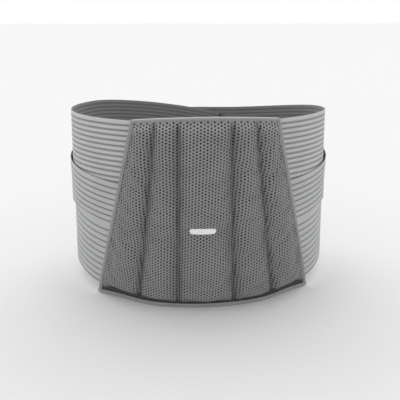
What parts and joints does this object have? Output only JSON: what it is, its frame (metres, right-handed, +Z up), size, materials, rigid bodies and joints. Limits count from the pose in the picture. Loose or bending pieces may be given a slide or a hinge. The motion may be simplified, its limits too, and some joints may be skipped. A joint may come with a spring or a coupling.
{
  "type": "lumbar support belt",
  "caption": "Contoured waist belt with a stayed mesh back pad, crossed ribbed elastics and a hook-and-loop closure.",
  "frame": {"origin": "on the axis of the waist opening, level with the lower edge of the back pad", "axes": "+Z up along the axis of the waist opening, -Y out through the middle of the back pad, +X across the belt to the right wing as seen by someone who looks at the back pad"},
  "size_m": [0.3516, 0.274, 0.23],
  "materials": {
    "air_mesh": "perforated knitted air mesh, matte",
    "foam": "open-cell foam, matte",
    "lining_cloth": "brushed knit, matte",
    "stay_steel": "spring temper, satin",
    "tip_plastic": "dipped tips",
    "casing_tape": "narrow woven tape",
    "binding_tape": "folded woven tape with a slight sheen",
    "badge_print": "heat-pressed label",
    "ribbed_elastic": "ribbed woven elastic with a slight sheen",
    "panel_cloth": "laminated cloth",
    "loop_pile": "brushed loop pile",
    "hook_tape": "moulded hooks"
  },
  "bodies": {
    "back_panel": {"back_cover_mesh": "air_mesh", "back_foam_pad": "foam", "back_lining": "lining_cloth", "left_outer_stay": "stay_steel", "left_inner_stay": "stay_steel", "right_inner_stay": "stay_steel", "right_outer_stay": "stay_steel", "stay_tips": "tip_plastic", "left_outer_casing": "casing_tape", "left_inner_casing": "casing_tape", "right_inner_casing": "casing_tape", "right_outer_casing": "casing_tape", "top_binding": "binding_tape", "bottom_binding": "binding_tape", "left_binding": "binding_tape", "right_binding": "binding_tape", "badge": "badge_print", "left_seam_tape": "binding_tape", "right_seam_tape": "binding_tape", "upper_left_elastic_front": "ribbed_elastic", "upper_right_elastic_front": "ribbed_elastic", "lower_left_elastic_front": "ribbed_elastic", "lower_right_elastic_front": "ribbed_elastic"},
    "right_wing": {"upper_right_elastic_rear": "ribbed_elastic", "lower_right_elastic_rear": "ribbed_elastic", "right_end_panel": "panel_cloth"},
    "left_wing": {"upper_left_elastic_rear": "ribbed_elastic", "lower_left_elastic_rear": "ribbed_elastic", "left_end_panel": "panel_cloth", "loop_patch": "loop_pile", "left_end_binding": "binding_tape"},
    "closure_tab": {"tab_backing": "panel_cloth", "hook_strip": "hook_tape", "tab_binding": "binding_tape"}
  },
  "joints": [
    {"name": "right_wing_swing", "type": "hinge", "parent": "back_panel", "child": "right_wing", "pos_m": [0.177, 0, 0.1], "axis": [0, 0, -1], "range_deg": [0, 100]},
    {"name": "left_wing_swing", "type": "hinge", "parent": "back_panel", "child": "left_wing", "pos_m": [-0.177, 0, 0.1], "axis": [0, 0, 1], "range_deg": [0, 50]},
    {"name": "closure_tab_peel", "type": "hinge", "parent": "right_wing", "child": "closure_tab", "pos_m": [-0.011, 0.1358, 0.13], "axis": [0, 0, -1], "range_deg": [0, 110]}
  ],
  "couplings": [
    {"joint": "left_wing_swing", "follows": "right_wing_swing", "ratio": 0.5}
  ]
}
